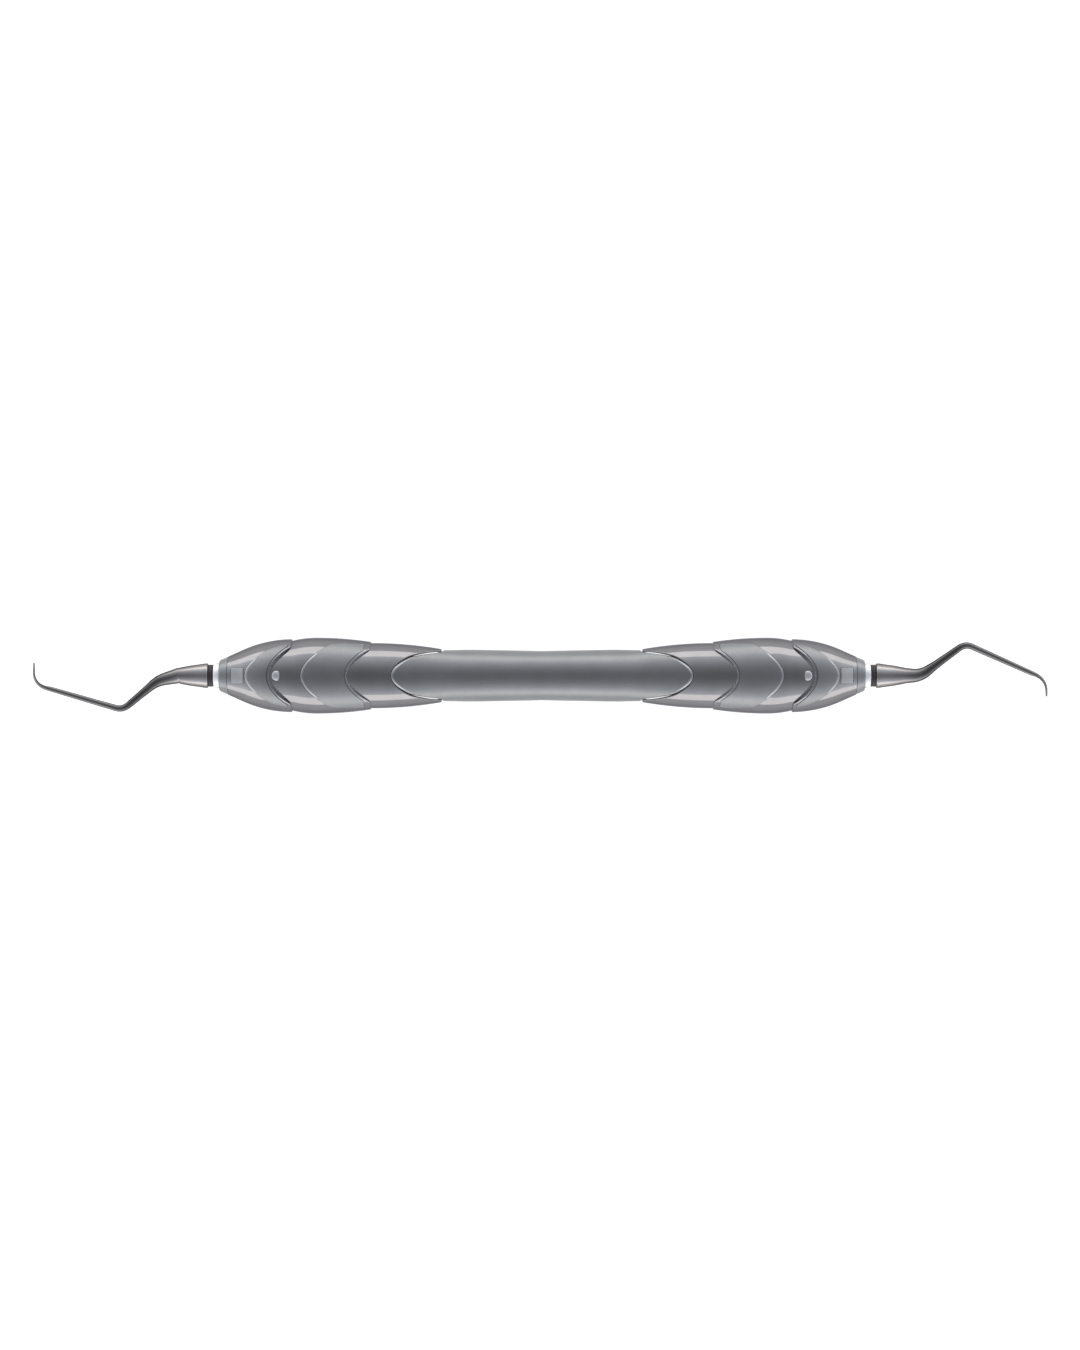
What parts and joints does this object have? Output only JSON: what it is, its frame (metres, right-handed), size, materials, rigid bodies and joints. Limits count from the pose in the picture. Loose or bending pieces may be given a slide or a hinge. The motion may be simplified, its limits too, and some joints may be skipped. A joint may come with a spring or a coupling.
{
  "type": "hand scaler",
  "caption": "Double-ended dental hand scaler with a hollow, scalloped satin and polished metal handle and screw-in curved working tips.",
  "frame": {"origin": "middle of the instrument: half way between the two working tips, on the axis of the handle", "axes": "+X along the handle towards the right tip, +Y sideways towards the side that the right shank's knee rises to, +Z out of the front face, which carries the code plates and the lock pins"},
  "size_m": [0.1699, 0.0128, 0.013],
  "materials": {
    "core_metal": "plain drawn tube",
    "satin_steel": "fine bead-blasted satin",
    "polished_ring": "dark polished",
    "bezel_steel": "light satin",
    "bright_steel": "bright polished",
    "seal_rubber": "matte elastomer",
    "tip_steel": "polished tool steel"
  },
  "bodies": {
    "handle": {"core_tube": "core_metal", "waist_sleeve": "satin_steel", "left_inner_ring": "polished_ring", "right_inner_ring": "polished_ring", "left_outer_ring": "polished_ring", "right_outer_ring": "polished_ring", "left_nose_ring": "polished_ring", "right_nose_ring": "polished_ring", "left_outer_leaf_front": "satin_steel", "left_outer_leaf_back": "satin_steel", "right_outer_leaf_front": "satin_steel", "right_outer_leaf_back": "satin_steel", "left_nose_leaf_front": "satin_steel", "left_nose_leaf_back": "satin_steel", "right_nose_leaf_front": "satin_steel", "right_nose_leaf_back": "satin_steel", "left_bezel": "bezel_steel", "right_bezel": "bezel_steel", "left_socket": "bright_steel", "right_socket": "bright_steel", "left_lock_pin": "bright_steel", "right_lock_pin": "bright_steel", "left_code_plate": "bezel_steel", "right_code_plate": "bezel_steel"},
    "left_seal": {"left_seal_ring": "seal_rubber"},
    "right_seal": {"right_seal_ring": "seal_rubber"},
    "left_tip": {"left_tip": "tip_steel"},
    "right_tip": {"right_tip": "tip_steel"}
  },
  "joints": [
    {"name": "left_tip_travel", "type": "slide", "parent": "handle", "child": "left_seal", "axis": [-1, 0, 0], "range_m": [0, 0.0054]},
    {"name": "left_tip_turn", "type": "hinge", "parent": "left_seal", "child": "left_tip", "pos_m": [-0.05, 0, 0], "axis": [-1, 0, 0], "range_deg": [0, 4320]},
    {"name": "right_tip_travel", "type": "slide", "parent": "handle", "child": "right_seal", "axis": [1, 0, 0], "range_m": [0, 0.0054]},
    {"name": "right_tip_turn", "type": "hinge", "parent": "right_seal", "child": "right_tip", "pos_m": [0.05, 0, 0], "axis": [1, 0, 0], "range_deg": [0, 4320]}
  ],
  "couplings": [
    {"joint": "left_tip_turn", "follows": "left_tip_travel", "rad_per_m": 13963},
    {"joint": "right_tip_turn", "follows": "right_tip_travel", "rad_per_m": 13963}
  ]
}
